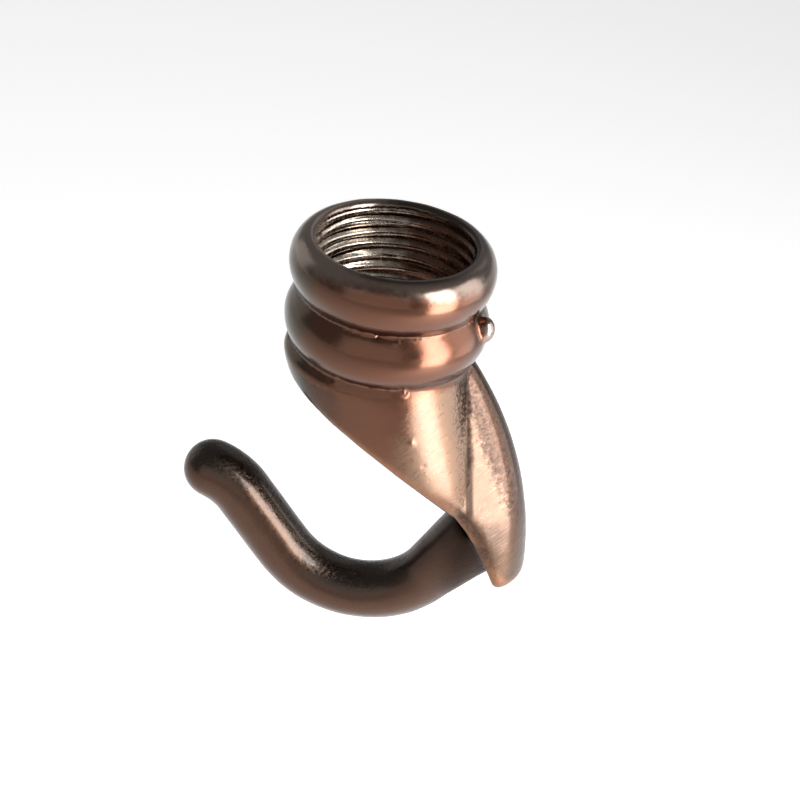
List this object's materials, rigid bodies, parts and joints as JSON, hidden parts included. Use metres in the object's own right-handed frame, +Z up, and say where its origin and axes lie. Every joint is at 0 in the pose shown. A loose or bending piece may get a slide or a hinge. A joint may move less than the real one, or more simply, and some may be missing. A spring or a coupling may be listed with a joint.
{
  "type": "ceiling hook",
  "caption": "Cast hook with a short threaded collar ringed by two beads, a slanted leaf-like shell and keel below it, and a round bar bent up into an open hook",
  "frame": {"origin": "centre of the collar's mouth, on the thread's axis", "axes": "+Z up out of the threaded mouth, +X towards the keel, so the hook opens towards -X; the hook is symmetric about the plane Y = 0"},
  "size_m": [0.0292, 0.0158, 0.0362],
  "materials": {
    "antique_copper": "antique copper plating with dark patina, brushed on the raised parts"
  },
  "bodies": {
    "root": {"ceiling_hook": "antique_copper"}
  },
  "joints": []
}
